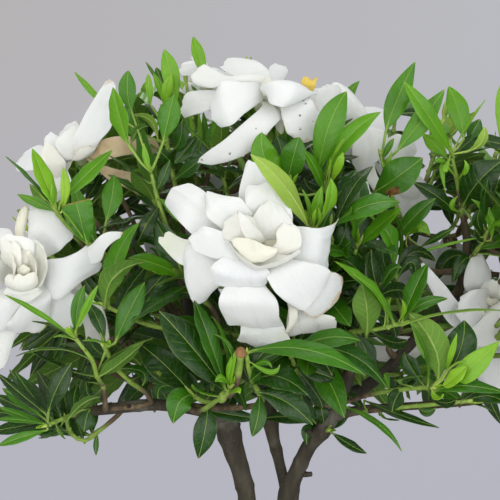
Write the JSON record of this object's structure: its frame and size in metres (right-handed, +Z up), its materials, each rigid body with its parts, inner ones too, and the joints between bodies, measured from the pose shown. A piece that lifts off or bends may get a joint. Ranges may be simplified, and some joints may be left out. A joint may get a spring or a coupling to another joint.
{
  "type": "potted gardenia",
  "caption": "Low bushy gardenia with glossy leaves and double white flowers, on short woody trunks in a plain clay pot filled with soil",
  "frame": {"origin": "the middle of the pot's flat underside", "axes": "+Z up along the plant; -Y towards the side that carries the largest flower; +X to the right as seen from there"},
  "size_m": [0.2995, 0.2417, 0.3772],
  "materials": {
    "clay_pot": "matte unglazed terracotta with faint mineral bloom",
    "potting_soil": "loose dark potting mix, matt and crumbly",
    "bark": "rough grey-brown bark",
    "calyx": "smooth green stalk and sepals",
    "petal": "soft satin white petal, cream towards the heart",
    "leaf": "glossy green leaf with a paler midrib and underside"
  },
  "bodies": {
    "root": {"pot": "clay_pot", "soil": "potting_soil", "trunk_right": "bark", "trunk_left": "bark", "trunk_middle": "bark", "branch_left_low": "bark", "branch_left_middle": "bark", "branch_left_back": "bark", "branch_right_low": "bark", "branch_right_upper": "bark", "branch_right_back": "bark", "branch_back": "bark", "flower_front": "petal", "flower_top": "petal", "flower_top_back": "petal", "flower_left": "petal", "flower_upper_left": "petal", "flower_upper_right": "petal", "flower_right": "petal", "flower_back": "petal", "flower_back_right": "petal", "stalk_front": "calyx", "stalk_top": "calyx", "stalk_top_back": "calyx", "stalk_left": "calyx", "stalk_upper_left": "calyx", "stalk_upper_right": "calyx", "stalk_right": "calyx", "stalk_back": "calyx", "stalk_back_right": "calyx", "leaves_young_front": "leaf", "leaves_front_low_left": "leaf", "leaves_front_low_right": "leaf", "leaves_front_right_low": "leaf", "leaves_right_front": "leaf", "leaves_right_low": "leaf", "leaves_upper_left": "leaf", "leaves_left": "leaf", "leaves_left_middle": "leaf", "leaves_left_low": "leaf", "leaves_bottom_left": "leaf", "leaves_right_centre": "leaf", "leaves_right_middle": "leaf", "leaves_top_centre": "leaf", "leaves_top_right": "leaf", "leaves_right_bottom": "leaf", "leaves_right_inner": "leaf", "leaves_upper_right": "leaf", "leaves_far_right_top": "leaf", "leaves_far_right": "leaf", "leaves_edge_right": "leaf", "leaves_back_0": "leaf", "leaves_back_1": "leaf", "leaves_back_2": "leaf", "leaves_back_3": "leaf", "leaves_back_4": "leaf", "leaves_back_5": "leaf", "leaves_back_6": "leaf", "leaves_back_7": "leaf", "leaves_back_8": "leaf"}
  },
  "joints": []
}
